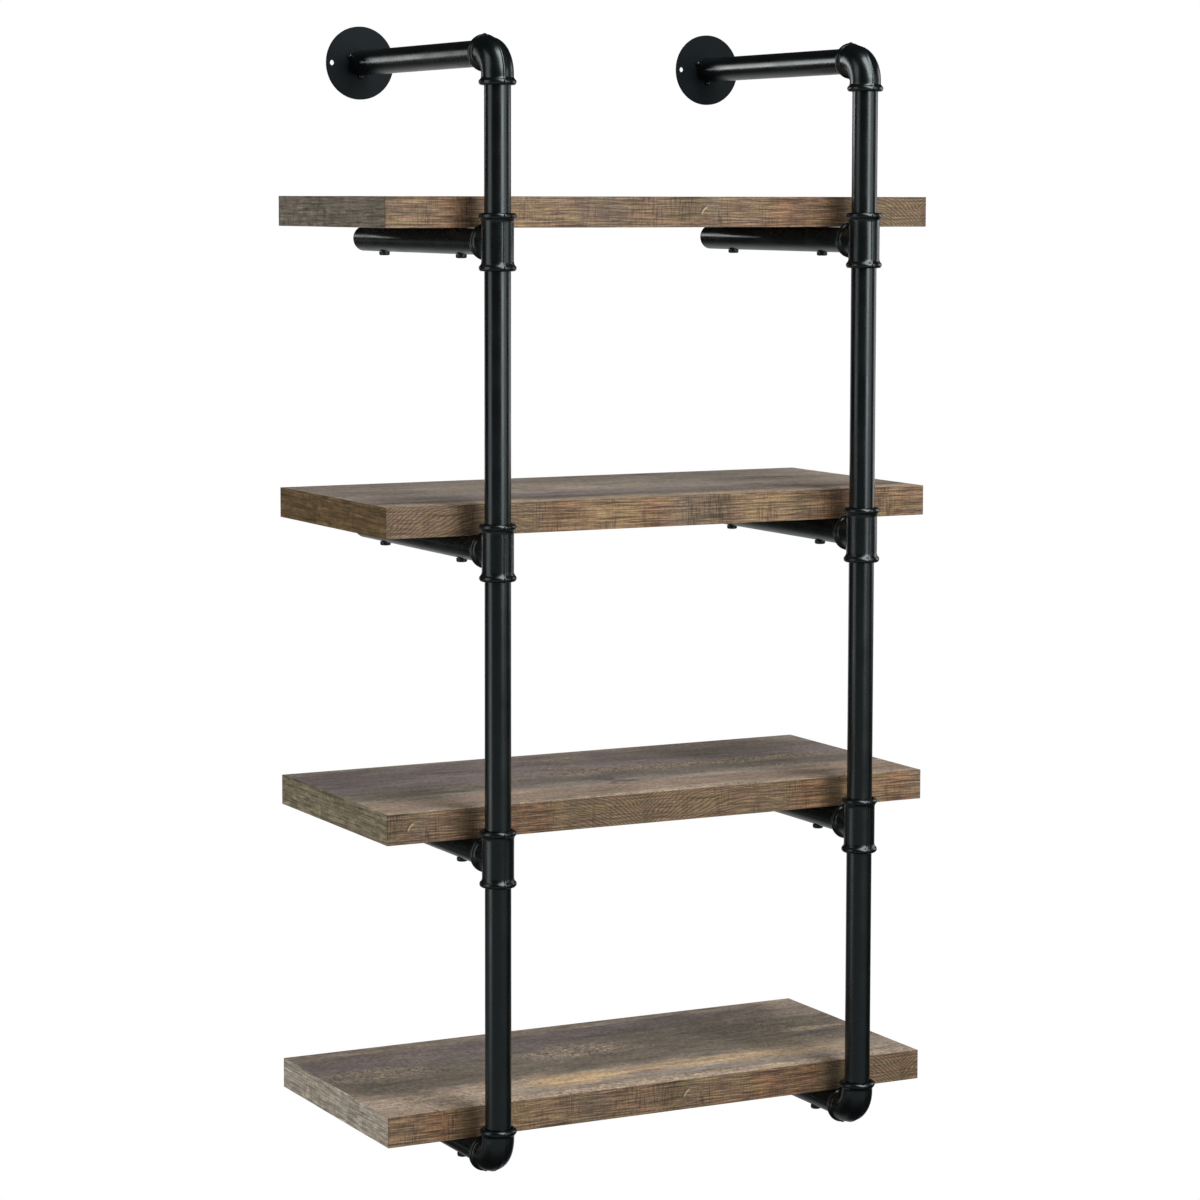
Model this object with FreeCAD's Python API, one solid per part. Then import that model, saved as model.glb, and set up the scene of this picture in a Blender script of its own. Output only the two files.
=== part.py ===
import FreeCAD, Part
import math
import os

from FreeCAD import Vector

# Four-tier pipe wall shelf. Millimetres, +Z up, the front faces -Y and the wall is the plane Y = 0.
# The origin lies on the wall, midway between the two wall plates and level with their screw holes.
# Tier 1 is the top board and tier 4 the bottom one.

# Whole shelf
tier_count = 4
post_spacing = 404.0
board_pitch = 294.0
top_tube_to_board = 135.0
board_back_to_wall = 21.0
post_in_front_of_board = 40.0

# Boards, with a glued strip on each of their four edges
board_width = 600.0
board_depth = 265.0
board_thickness = 30.0
edge_band_thickness = 1.0

# Steel tube, the same for posts, arms and wall tubes
tube_diameter = 25.4
tube_wall = 2.0
thread_diameter = 24.4
thread_length = 12.0
thread_chamfer = 0.8
arm_end_to_wall = 11.0

# Cast fittings
fitting_body_diameter = 31.0
branch_body_diameter = 30.0
fitting_rim_diameter = 36.0
fitting_bead_height = 5.6
fitting_flare_diameter = 33.2
fitting_lip_diameter = 32.0
mouth_recess_diameter = 28.6
mouth_recess_depth = 2.6
socket_depth = 15.6
passage_diameter = 20.0
tee_reach = 27.5
tee_flare_length = 9.2
tee_crotch_radius = 3.0
elbow_reach = 31.0
elbow_flare_length = 8.0
elbow_bend_radius = 21.0
seam_width = 1.5
seam_height = 0.5
seam_lump_width = 2.4
seam_lump_height = 0.75
seam_lump_length = 3.2

# Wall plates, each tack-welded to its tube
plate_diameter = 74.0
plate_thickness = 3.0
plate_edge_round = 0.6
plate_hole_to_rim = 6.0
plate_hole_diameter = 5.4
tack_count = 3
tack_first_angle = 30.0
tack_radius = 2.6
tack_reach = 1.4

# Screws that hold a board on its arms, and the threaded inserts in the board
screw_row_spacing = 183.0
screw_shank_diameter = 6.0
screw_length = 40.0
screw_head_diameter = 10.8
screw_head_height = 3.8
screw_head_round = 1.6
screw_key_sides = 6
screw_key_width = 4.0
screw_key_depth = 2.2
screw_hole_diameter = 6.8
insert_diameter = 10.0
insert_length = 13.0
insert_flange_diameter = 13.0
insert_flange_thickness = 1.2
insert_hole_depth = 18.0

# Plugs in the rear ends of the arms
plug_cap_thickness = 2.0
plug_cap_round = 1.2
plug_stem_length = 11.0

# Clearances
thread_clearance = 0.15
seat_gap = 0.3
screw_clearance = 0.08
plug_clearance = 0.12
insert_clearance = 0.1
weld_clearance = 0.02
cut_overrun = 2.0

# Values that follow from the ones above
tube_radius = tube_diameter / 2
tube_bore_radius = tube_radius - tube_wall
thread_radius = thread_diameter / 2
socket_radius = thread_radius + thread_clearance
shoulder_depth = mouth_recess_depth - seat_gap
plate_hole_spacing = plate_diameter - 2 * plate_hole_to_rim
board_front = -board_back_to_wall - board_depth
board_back = -board_back_to_wall
board_middle = (board_front + board_back) / 2
post_y = board_front - post_in_front_of_board
left_x = -post_spacing / 2
right_x = post_spacing / 2
sides = (("left", left_x), ("right", right_x))

along_x = Vector(1, 0, 0)
along_y = Vector(0, 1, 0)
along_z = Vector(0, 0, 1)
centre = Vector(0, 0, 0)
quarter_turn = 90
half_turn = 180
full_turn = 360
sample_shares = (0.1, 0.35, 0.6, 0.9)

os.makedirs("parts", exist_ok=True)


def save(shape, node):
    shape.exportStep("parts/" + node + ".step")


def box_between(low, high):
    size = high.sub(low)
    return Part.makeBox(size.x, size.y, size.z, low)


def board_top(tier):
    return -top_tube_to_board - (tier - 1) * board_pitch


def board_underside(tier):
    return board_top(tier) - board_thickness


def arm_axis_height(tier):
    return board_underside(tier) - seat_gap - tube_radius


def screw_rows():
    return (board_middle - screw_row_spacing / 2, board_middle + screw_row_spacing / 2)


# Fittings

def mouth_outline(body_diameter, start, reach, flare_length, growth):
    # Half section of one leg: body, concave flare, round bead and lip, turned about the leg's axis.
    body = body_diameter / 2 + growth
    flare = fitting_flare_diameter / 2 + growth
    rim = fitting_rim_diameter / 2 + growth
    lip = fitting_lip_diameter / 2 + growth
    bead_start = reach - fitting_bead_height
    flare_start = reach - flare_length
    flare_middle = Vector((3 * body + flare) / 4, 0, (flare_start + bead_start) / 2)
    bead_middle = Vector(rim, 0, reach - fitting_bead_height / 2)
    return Part.Wire([
        Part.makeLine(Vector(0, 0, start), Vector(body, 0, start)),
        Part.makeLine(Vector(body, 0, start), Vector(body, 0, flare_start)),
        Part.Arc(Vector(body, 0, flare_start), flare_middle, Vector(flare, 0, bead_start)).toShape(),
        Part.Arc(Vector(flare, 0, bead_start), bead_middle, Vector(lip, 0, reach)).toShape(),
        Part.makeLine(Vector(lip, 0, reach), Vector(0, 0, reach)),
        Part.makeLine(Vector(0, 0, reach), Vector(0, 0, start)),
    ])


def leg(body_diameter, start, reach, flare_length, growth):
    outline = mouth_outline(body_diameter, start, reach, flare_length, growth)
    return Part.Face(outline).revolve(centre, along_z, full_turn)


def mouth_cut(reach):
    # Passage, threaded socket and the wider recess at the mouth, all on +Z.
    passage = Part.makeCylinder(passage_diameter / 2, reach + cut_overrun)
    socket = Part.makeCylinder(socket_radius, socket_depth + cut_overrun, Vector(0, 0, reach - socket_depth))
    recess = Part.makeCylinder(mouth_recess_diameter / 2, mouth_recess_depth + cut_overrun,
                               Vector(0, 0, reach - mouth_recess_depth))
    return passage.fuse([socket, recess])


def turned_down(shape):
    turned = shape.copy()
    turned.rotate(centre, along_x, half_turn)
    return turned


def turned_back(shape):
    turned = shape.copy()
    turned.rotate(centre, along_x, -quarter_turn)
    return turned


def seam_slab(reach):
    # Thin slab in the middle plane of a fitting, where the two halves of its mould met.
    low = Vector(-seam_width / 2, -2 * reach, -2 * reach)
    high = Vector(seam_width / 2, 2 * reach, 2 * reach)
    return box_between(low, high)


def seam_lumps(start, reach, flare_length):
    # Small lumps of metal on the bead of an upright leg, where the seam crosses it.
    middle = reach - fitting_bead_height / 2
    low = Vector(-seam_lump_width / 2, -fitting_rim_diameter, middle - seam_lump_length / 2)
    high = Vector(seam_lump_width / 2, fitting_rim_diameter, middle + seam_lump_length / 2)
    thicker_leg = leg(fitting_body_diameter, start, reach, flare_length, seam_lump_height)
    return thicker_leg.common(box_between(low, high))


def tee_outer(growth):
    run_up = leg(fitting_body_diameter, 0, tee_reach, tee_flare_length, growth)
    branch = leg(branch_body_diameter, 0, tee_reach, tee_flare_length, growth)
    return run_up.fuse([turned_down(run_up), turned_back(branch)]).removeSplitter()


def meets_run_and_branch(edge):
    # True for the curved edges where the branch's straight body meets the run's.
    span = edge.LastParameter - edge.FirstParameter
    for share in sample_shares:
        point = edge.valueAt(edge.FirstParameter + share * span)
        from_run = abs(math.hypot(point.x, point.y) - fitting_body_diameter / 2)
        from_branch = abs(math.hypot(point.x, point.z) - branch_body_diameter / 2)
        if max(from_run, from_branch) > weld_clearance:
            return False
    return True


def tee():
    # Run along Z and branch towards the wall along +Y.
    sharp = tee_outer(0)
    crotch = [edge for edge in sharp.Edges if meets_run_and_branch(edge)]
    outer = sharp.makeFillet(tee_crotch_radius, crotch)
    ridge = tee_outer(seam_height).common(seam_slab(tee_reach))
    lumps = seam_lumps(0, tee_reach, tee_flare_length)
    cut = mouth_cut(tee_reach)
    hollow = cut.fuse([turned_down(cut), turned_back(cut)])
    return outer.fuse([ridge, lumps, turned_down(lumps), turned_back(lumps)]).cut(hollow)


def elbow_bend(radius, side):
    # Quarter bend from the vertical leg, above the corner for side 1 and below it for -1, to the rear leg.
    start = Vector(0, 0, side * elbow_bend_radius)
    ring = Part.Face(Part.Wire(Part.makeCircle(radius, start, along_z)))
    pivot = Vector(0, elbow_bend_radius, side * elbow_bend_radius)
    return ring.revolve(pivot, along_x, side * quarter_turn)


def vertical_leg(shape, side):
    return shape.copy() if side > 0 else turned_down(shape)


def elbow_outer(growth, side):
    mouth = leg(fitting_body_diameter, elbow_bend_radius, elbow_reach, elbow_flare_length, growth)
    bend = elbow_bend(fitting_body_diameter / 2 + growth, side)
    return bend.fuse([vertical_leg(mouth, side), turned_back(mouth)])


def elbow_cut(side):
    socket = Part.makeCylinder(socket_radius, socket_depth + cut_overrun,
                               Vector(0, 0, elbow_reach - socket_depth))
    recess = Part.makeCylinder(mouth_recess_diameter / 2, mouth_recess_depth + cut_overrun,
                               Vector(0, 0, elbow_reach - mouth_recess_depth))
    ends = socket.fuse(recess)
    return elbow_bend(passage_diameter / 2, side).fuse([vertical_leg(ends, side), turned_back(ends)])


def elbow(side):
    outer = elbow_outer(0, side)
    ridge = elbow_outer(seam_height, side).common(seam_slab(elbow_reach))
    lumps = seam_lumps(elbow_bend_radius, elbow_reach, elbow_flare_length)
    return outer.fuse([ridge, vertical_leg(lumps, side), turned_back(lumps)]).cut(elbow_cut(side))


# Tubes

def thread_end(point, direction):
    # Reduced, chamfered spigot that screws into a fitting's socket.
    tip = point.add(Vector(direction).multiply(thread_length - thread_chamfer))
    straight = Part.makeCylinder(thread_radius, thread_length - thread_chamfer, point, direction)
    point_end = Part.makeCone(thread_radius, thread_radius - thread_chamfer, thread_chamfer, tip, direction)
    return straight.fuse(point_end)


def tube(start, direction, length, thread_at_start, thread_at_end):
    # Hollow tube between two shoulders, with a threaded spigot beyond each shoulder that has one.
    end = start.add(Vector(direction).multiply(length))
    outer = Part.makeCylinder(tube_radius, length, start, direction)
    if thread_at_start:
        outer = outer.fuse(thread_end(start, Vector(direction).multiply(-1)))
    if thread_at_end:
        outer = outer.fuse(thread_end(end, direction))
    overrun = thread_length + cut_overrun
    bore_start = start.sub(Vector(direction).multiply(overrun))
    bore = Part.makeCylinder(tube_bore_radius, length + 2 * overrun, bore_start, direction)
    return outer.cut(bore)


def post_tube(x, upper_height, upper_reach, lower_height, lower_reach):
    top = upper_height - upper_reach + shoulder_depth
    bottom = lower_height + lower_reach - shoulder_depth
    return tube(Vector(x, post_y, bottom), along_z, top - bottom, True, True)


def wall_tube(x):
    front = post_y + elbow_reach - shoulder_depth
    return tube(Vector(x, front, 0), along_y, -plate_thickness - front, True, False)


def screw_hole(x, y, tier):
    bottom = arm_axis_height(tier) - tube_radius - cut_overrun
    return Part.makeCylinder(screw_hole_diameter / 2, tube_diameter + 2 * cut_overrun, Vector(x, y, bottom))


def arm_tube(x, tier, reach):
    front = post_y + reach - shoulder_depth
    rear = -arm_end_to_wall - plug_cap_thickness
    plain = tube(Vector(x, front, arm_axis_height(tier)), along_y, rear - front, True, False)
    return plain.cut([screw_hole(x, y, tier) for y in screw_rows()])


def arm_plug(x, tier):
    # Round cap with a stem that presses into the open rear end of an arm.
    rear = -arm_end_to_wall
    cap_front = Vector(x, rear - plug_cap_thickness, arm_axis_height(tier))
    cap = Part.makeCylinder(tube_radius, plug_cap_thickness, cap_front, along_y)
    rim = [edge for edge in cap.Edges if abs(edge.BoundBox.YMin - rear) < seat_gap
           and edge.BoundBox.YLength < seat_gap]
    cap = cap.makeFillet(plug_cap_round, rim)
    stem_front = cap_front.sub(Vector(0, plug_stem_length, 0))
    stem = Part.makeCylinder(tube_bore_radius - plug_clearance, plug_stem_length, stem_front, along_y)
    return cap.fuse(stem)


# Wall plates

def wall_plate(x):
    plate = Part.makeCylinder(plate_diameter / 2, plate_thickness, Vector(x, 0, 0), Vector(0, -1, 0))
    front_rim = [edge for edge in plate.Edges if edge.BoundBox.YMax < -plate_thickness / 2]
    plate = plate.makeFillet(plate_edge_round, front_rim)
    holes = []
    for sign in (-1, 1):
        start = Vector(x + sign * plate_hole_spacing / 2, cut_overrun, 0)
        length = plate_thickness + 2 * cut_overrun
        holes.append(Part.makeCylinder(plate_hole_diameter / 2, length, start, Vector(0, -1, 0)))
    return plate.cut(holes)


def weld_tacks(x):
    # Blobs of weld in the corner between the tube and the plate.
    tube_space = Part.makeCylinder(tube_radius + weld_clearance, 2 * tack_radius + cut_overrun,
                                   Vector(x, 0, 0), Vector(0, -1, 0))
    plate_space = Part.makeBox(plate_diameter, plate_thickness + weld_clearance, plate_diameter,
                               Vector(x - plate_diameter / 2, -plate_thickness - weld_clearance,
                                      -plate_diameter / 2))
    tacks = []
    for number in range(tack_count):
        angle = tack_first_angle + number * full_turn / tack_count
        blob = Part.makeSphere(tack_radius, Vector(tube_radius + tack_radius - tack_reach, 0, 0))
        blob.rotate(centre, along_y, -angle)
        blob.translate(Vector(x, -plate_thickness - tack_radius + tack_reach, 0))
        tacks.append(blob.cut([tube_space, plate_space]).Solids[0])
    return Part.makeCompound(tacks)


# Boards and their fasteners

def screw_points(tier):
    points = []
    for side, x in sides:
        for y in screw_rows():
            points.append(Vector(x, y, arm_axis_height(tier) - tube_radius))
    return points


def board(tier):
    low = Vector(-board_width / 2 + edge_band_thickness, board_front + edge_band_thickness,
                 board_underside(tier))
    high = Vector(board_width / 2 - edge_band_thickness, board_back - edge_band_thickness, board_top(tier))
    holes = []
    for point in screw_points(tier):
        base = Vector(point.x, point.y, board_underside(tier) - cut_overrun)
        holes.append(Part.makeCylinder(insert_diameter / 2 + insert_clearance,
                                       insert_hole_depth + cut_overrun, base))
        holes.append(Part.makeCylinder(insert_flange_diameter / 2 + insert_clearance,
                                       insert_flange_thickness + insert_clearance + cut_overrun, base))
    return box_between(low, high).cut(holes)


def edge_bands(tier):
    # Front and rear strips over the whole width, and end strips between them.
    bottom = board_underside(tier)
    top = board_top(tier)
    half = board_width / 2
    inner_front = board_front + edge_band_thickness
    inner_back = board_back - edge_band_thickness
    return Part.makeCompound([
        box_between(Vector(-half, board_front, bottom), Vector(half, inner_front, top)),
        box_between(Vector(-half, inner_back, bottom), Vector(half, board_back, top)),
        box_between(Vector(-half, inner_front, bottom), Vector(-half + edge_band_thickness, inner_back, top)),
        box_between(Vector(half - edge_band_thickness, inner_front, bottom), Vector(half, inner_back, top)),
    ])


def board_insert(point, tier):
    base = Vector(point.x, point.y, board_underside(tier))
    barrel = Part.makeCylinder(insert_diameter / 2, insert_length, base)
    flange = Part.makeCylinder(insert_flange_diameter / 2, insert_flange_thickness, base)
    bore_base = Vector(base.x, base.y, base.z - cut_overrun)
    bore = Part.makeCylinder(screw_shank_diameter / 2 + screw_clearance,
                             insert_length + 2 * cut_overrun, bore_base)
    return barrel.fuse(flange).cut(bore)


def arm_screw(point):
    # Button-head screw with a hexagon key hole, pushed up through the arm from below.
    head_base = Vector(point.x, point.y, point.z - screw_head_height)
    head = Part.makeCylinder(screw_head_diameter / 2, screw_head_height, head_base)
    rim = [edge for edge in head.Edges if edge.BoundBox.ZMax < point.z - screw_head_height / 2]
    head = head.makeFillet(screw_head_round, rim)
    shank = Part.makeCylinder(screw_shank_diameter / 2, screw_length, point)
    corner = screw_key_width / 2 / math.cos(math.pi / screw_key_sides)
    key_low = Vector(point.x, point.y, head_base.z - cut_overrun)
    corners = []
    for number in range(screw_key_sides):
        turn = FreeCAD.Rotation(along_z, number * full_turn / screw_key_sides)
        corners.append(key_low.add(turn.multVec(Vector(corner, 0, 0))))
    hexagon = Part.Face(Part.makePolygon(corners + corners[:1]))
    key = hexagon.extrude(Vector(0, 0, screw_key_depth + cut_overrun))
    return head.fuse(shank).cut(key)


# Every piece in its place

def placed(shape, x, height):
    moved = shape.copy()
    moved.translate(Vector(x, post_y, height))
    return moved


tee_shape = tee()
top_elbow_shape = elbow(-1)
bottom_elbow_shape = elbow(1)

for side, x in sides:
    save(wall_plate(x), "wall_plate_" + side)
    save(weld_tacks(x), "weld_tacks_" + side)
    save(wall_tube(x), "wall_tube_" + side)
    save(placed(top_elbow_shape, x, 0), "top_elbow_" + side)
    save(placed(bottom_elbow_shape, x, arm_axis_height(tier_count)), "bottom_elbow_" + side)
    upper_height = 0
    upper_reach = elbow_reach
    for tier in range(1, tier_count + 1):
        ending = side + "_" + str(tier)
        lower_height = arm_axis_height(tier)
        lower_reach = tee_reach if tier < tier_count else elbow_reach
        save(post_tube(x, upper_height, upper_reach, lower_height, lower_reach), "post_tube_" + ending)
        if tier < tier_count:
            save(placed(tee_shape, x, lower_height), "tee_" + ending)
        save(arm_tube(x, tier, lower_reach), "arm_tube_" + ending)
        save(arm_plug(x, tier), "arm_plug_" + ending)
        upper_height = lower_height
        upper_reach = lower_reach

for tier in range(1, tier_count + 1):
    number = str(tier)
    save(board(tier), "board_" + number)
    save(edge_bands(tier), "edge_bands_" + number)
    inserts = [board_insert(point, tier) for point in screw_points(tier)]
    save(Part.makeCompound(inserts), "board_inserts_" + number)
    save(Part.makeCompound([arm_screw(point) for point in screw_points(tier)]), "arm_screws_" + number)
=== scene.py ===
import math

import bmesh
import bpy
from mathutils import Matrix, Vector


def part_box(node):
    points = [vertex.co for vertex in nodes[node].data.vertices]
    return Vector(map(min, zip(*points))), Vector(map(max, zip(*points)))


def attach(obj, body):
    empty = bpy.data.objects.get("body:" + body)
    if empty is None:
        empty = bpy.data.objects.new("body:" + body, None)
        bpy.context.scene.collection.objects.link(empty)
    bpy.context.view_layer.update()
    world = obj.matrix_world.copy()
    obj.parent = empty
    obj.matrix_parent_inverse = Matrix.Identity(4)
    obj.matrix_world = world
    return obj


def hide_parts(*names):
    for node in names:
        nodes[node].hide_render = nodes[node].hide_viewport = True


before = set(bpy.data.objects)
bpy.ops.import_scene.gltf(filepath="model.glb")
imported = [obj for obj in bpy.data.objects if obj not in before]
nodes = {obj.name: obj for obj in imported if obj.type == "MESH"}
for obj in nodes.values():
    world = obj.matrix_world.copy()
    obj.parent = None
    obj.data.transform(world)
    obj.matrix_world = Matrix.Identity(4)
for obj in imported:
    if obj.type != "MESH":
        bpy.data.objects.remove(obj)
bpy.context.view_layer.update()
scene = bpy.context.scene
scene.view_settings.view_transform = "Standard"


# The camera. It stands to the left of the shelf, level with the top of the first board, so that this
# board is seen edge on and the lower ones show more and more of their tops.
camera_place = Vector((-1.6402, -3.3272, -0.1347))
camera_turn, camera_tilt, camera_roll = 0.4760, -0.0861, 0.0018
camera_lens, sensor_width, camera_shift = 105.62, 36.0, -0.0833

ahead = Vector((math.sin(camera_turn) * math.cos(camera_tilt),
                math.cos(camera_turn) * math.cos(camera_tilt), math.sin(camera_tilt)))
level = Vector((math.cos(camera_turn), -math.sin(camera_turn), 0.0))
upward = level.cross(ahead)
side_way = level * math.cos(camera_roll) + upward * math.sin(camera_roll)
up_way = side_way.cross(ahead)
lens = bpy.data.cameras.new("camera")
lens.lens, lens.sensor_width, lens.shift_y = camera_lens, sensor_width, camera_shift
camera = bpy.data.objects.new("camera", lens)
camera.matrix_world = Matrix.Translation(camera_place) @ Matrix(
    (side_way, up_way, -ahead)).transposed().to_4x4()
scene.collection.objects.link(camera)
scene.camera = camera


# The studio. A shelf like this hangs on two studs, so the pale floor lies well below it. Softboxes
# light it from the front, from high in front and from both sides, and a small one behind on the left
# gives the wall tubes their sheen. The black tubes mirror a dark room with a white sweep behind.
shelf_middle = Vector((0.0, -0.16, -0.52))
floor_height, floor_half, floor_colour = -1.62, 9.0, (0.78, 0.78, 0.78, 1)
# The background is white from floor_far out. Inside floor_pool the paint and the shadow show through.
floor_pool, floor_far, floor_pool_white = 0.9, 1.55, 0.62
ambient_colour, ambient_light, room_in_gloss = (0.94, 0.97, 1.0, 1), 0.2, 0.02
# The sweep: which way it lies, the rises of a ray between which it fades in downwards, and the
# cosines of the angle off its middle where it begins and where it is full, in the room and on the
# floor. On the floor it reaches floor_sweep_share of its white.
sweep_bearing, sweep_top, sweep_foot = (0.45, 0.89, 0.0), 0.02, -0.06
sweep_side, sweep_full = 0.62, 0.86
floor_sweep_side, floor_sweep_full, floor_sweep_share = 0.68, 0.98, 0.55
# The floor as gloss shows it is a painted reflection: in gloss rays it glows with these colours in
# place of its lit paint, dark under the shelf, turning grey from front_start to front_full and from
# left_start to left_full. On the left the grey ends between left_near and left_far.
floor_under_gloss, floor_front_gloss = (0.03, 0.03, 0.03, 1), (0.34, 0.36, 0.35, 1)
front_start, front_full = -0.25, -1.1
left_start, left_full = -0.7, -1.8
left_near, left_far = 1.0, 2.2
# name: degrees from straight in front towards the right, distance, height, width, length, radiance
softboxes = {
    "front_softbox": (12.0, 2.7, 0.55, 0.9, 1.4, 6.2),
    "front_spread": (29.0, 2.8, 0.50, 2.2, 1.4, 1.9),
    "left_softbox": (-92.0, 2.3, 0.50, 1.2, 3.0, 2.0),
    "right_softbox": (92.0, 2.4, 0.45, 1.1, 1.4, 2.3),
    "rim_softbox": (-157.4, 1.17, 0.66, 0.60, 0.44, 0.34),
    "raised_softbox": (8.0, 2.0, 2.2, 1.3, 3.2, 10.0),
}
# The rim box has a grid, so that its light goes to the wall tubes and little else.
rim_aim, rim_spread = Vector((0.22, -0.08, 0.14)), math.radians(40)


def put(tree, kind, feeds=None, **settings):
    """Adds a node. Each feed goes into the input of that name or number, as a link or as a value."""
    made = tree.nodes.new(kind)
    for setting, value in settings.items():
        setattr(made, setting, value)
    for socket, feed in (feeds or {}).items():
        if isinstance(feed, bpy.types.NodeSocket):
            tree.links.new(feed, made.inputs[socket])
        else:
            made.inputs[socket].default_value = feed
    return made


def maths(tree, operation, *feeds):
    """One sum on numbers."""
    return put(tree, "ShaderNodeMath", dict(enumerate(feeds)), operation=operation).outputs[0]


def measure(tree, operation, *feeds):
    """A number taken from vectors: a length, a distance or how far one goes along another."""
    return put(tree, "ShaderNodeVectorMath", dict(enumerate(feeds)),
               operation=operation).outputs["Value"]


def between(tree, feed, low, high, to_low=0.0, to_high=1.0, kind="LINEAR"):
    """Goes from to_low to to_high while the feed goes from low to high, and stays there beyond."""
    return put(tree, "ShaderNodeMapRange", {"Value": feed, "From Min": low, "From Max": high,
                                            "To Min": to_low, "To Max": to_high},
               interpolation_type=kind).outputs[0]


def gently(tree, feed, low, high, to_low=0.0, to_high=1.0):
    """As between, with soft ends."""
    return between(tree, feed, low, high, to_low, to_high, "SMOOTHSTEP")


def laid_over(tree, share, under, over):
    """A share of one colour laid over another."""
    return put(tree, "ShaderNodeMix", {0: share, 6: under, 7: over}, data_type="RGBA").outputs[2]


def seen_white(tree, behind):
    """1 for the rays that show the background: the camera's, those through glass, and those that
    gloss throws back to the side where the sweep is, which behind gives as a share."""
    path = put(tree, "ShaderNodeLightPath").outputs
    seen = maths(tree, "MAXIMUM", path["Is Camera Ray"],
                 maths(tree, "MULTIPLY", path["Is Glossy Ray"], behind))
    return maths(tree, "MAXIMUM", seen, path["Is Transmission Ray"])


world = bpy.data.worlds.new("studio")
world.use_nodes = True
world.cycles.sampling_method = "NONE"
scene.world = world
tree = world.node_tree
tree.nodes.clear()
heading = put(tree, "ShaderNodeTexCoord").outputs["Generated"]
rise = put(tree, "ShaderNodeSeparateXYZ", {0: heading}).outputs["Z"]
toward = measure(tree, "DOT_PRODUCT", heading, sweep_bearing)
behind = maths(tree, "MULTIPLY", gently(tree, rise, sweep_top, sweep_foot),
               gently(tree, toward, sweep_side, sweep_full))
glossy_ray = put(tree, "ShaderNodeLightPath").outputs["Is Glossy Ray"]
strength = between(tree, glossy_ray, 0.0, 1.0, ambient_light, room_in_gloss)
room = put(tree, "ShaderNodeBackground", {"Color": ambient_colour, "Strength": strength})
backdrop = put(tree, "ShaderNodeBackground", {"Color": (1, 1, 1, 1), "Strength": 1.0})
either = put(tree, "ShaderNodeMixShader", {0: seen_white(tree, behind), 1: room.outputs[0],
                                           2: backdrop.outputs[0]})
put(tree, "ShaderNodeOutputWorld", {"Surface": either.outputs[0]})

floor_material = bpy.data.materials.new("pale_floor")
floor_material.use_nodes = True
floor_material.cycles.emission_sampling = "NONE"
tree = floor_material.node_tree
tree.nodes.clear()
place = put(tree, "ShaderNodeTexCoord").outputs["Object"]
away = measure(tree, "LENGTH", place)
toward = measure(tree, "DOT_PRODUCT", place, sweep_bearing)
behind = gently(tree, maths(tree, "DIVIDE", toward, away), floor_sweep_side, floor_sweep_full,
                0.0, floor_sweep_share)
white_share = maths(tree, "MULTIPLY", gently(tree, away, floor_pool, floor_far, floor_pool_white),
                    seen_white(tree, behind))
glossy_ray = put(tree, "ShaderNodeLightPath").outputs["Is Glossy Ray"]
sideways = put(tree, "ShaderNodeSeparateXYZ", {0: place}).outputs["X"]
on_left = maths(tree, "MULTIPLY", gently(tree, sideways, left_start, left_full),
                gently(tree, toward, left_far, left_near))
lit = maths(tree, "MAXIMUM", gently(tree, toward, front_start, front_full), on_left)
# The painted reflection: the glow that gloss rays see on the floor in place of its lit paint.
mirrored = put(tree, "ShaderNodeEmission",
               {"Color": laid_over(tree, lit, floor_under_gloss, floor_front_gloss)})
paint = put(tree, "ShaderNodeBsdfDiffuse", {"Color": floor_colour})
ground = put(tree, "ShaderNodeMixShader", {0: glossy_ray, 1: paint.outputs[0],
                                           2: mirrored.outputs[0]})
white = put(tree, "ShaderNodeEmission", {"Color": (1, 1, 1, 1), "Strength": 1.0})
either = put(tree, "ShaderNodeMixShader", {0: white_share, 1: ground.outputs[0],
                                           2: white.outputs[0]})
put(tree, "ShaderNodeOutputMaterial", {"Surface": either.outputs[0]})

floor_mesh = bpy.data.meshes.new("floor")
floor_mesh.from_pydata([(x * floor_half, y * floor_half, 0) for x, y in
                        ((-1, -1), (1, -1), (1, 1), (-1, 1))], [], [(0, 1, 2, 3)])
floor_mesh.materials.append(floor_material)
floor = bpy.data.objects.new("floor", floor_mesh)
floor.location = (0, shelf_middle.y, floor_height)
scene.collection.objects.link(floor)

for name, (bearing, distance, height, width, length, radiance) in softboxes.items():
    lamp = bpy.data.lights.new(name, "AREA")
    lamp.shape, lamp.size, lamp.size_y = "RECTANGLE", width, length
    lamp.energy = radiance * math.pi * width * length
    turn = math.radians(bearing)
    box = bpy.data.objects.new(name, lamp)
    box.location = shelf_middle + Vector((distance * math.sin(turn), -distance * math.cos(turn),
                                          height))
    aim = shelf_middle
    if name == "rim_softbox":
        aim, lamp.spread = rim_aim, rim_spread
    box.rotation_euler = (aim - box.location).to_track_quat("-Z", "Y").to_euler()
    box.visible_camera = False
    scene.collection.objects.link(box)


# The upright lines: two wall plates, the tubes that lead forward from them, eight post tubes and
# eight arms. All are one-inch steel tube and 3 mm plate with a satin black powder coat, which
# shows a fine orange peel and levels out a little unevenly along a tube.
sides, tiers = ("left", "right"), range(1, 5)
coat_tones = ((0.0010, 0.0017, 0.0018), (0.0020, 0.0029, 0.0030))
coat_tint, coat_specular = (0.88, 0.98, 1.0, 1), 0.46
plate_tones = ((0.0020, 0.0034, 0.0042), (0.0034, 0.0050, 0.0060))
# The grain of the clouds in the tone and of the patches in the gloss, as shares of the flow's.
cloud_share, patch_share = 1.6, 0.8
# Where most of a noise's values lie.
noise_low, noise_high = 0.3, 0.7


def grain_of(tree, place, scale, detail):
    """Even noise, with scale in lumps per metre."""
    return put(tree, "ShaderNodeTexNoise", {"Vector": place, "Scale": scale,
                                            "Detail": detail}).outputs[0]


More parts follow.
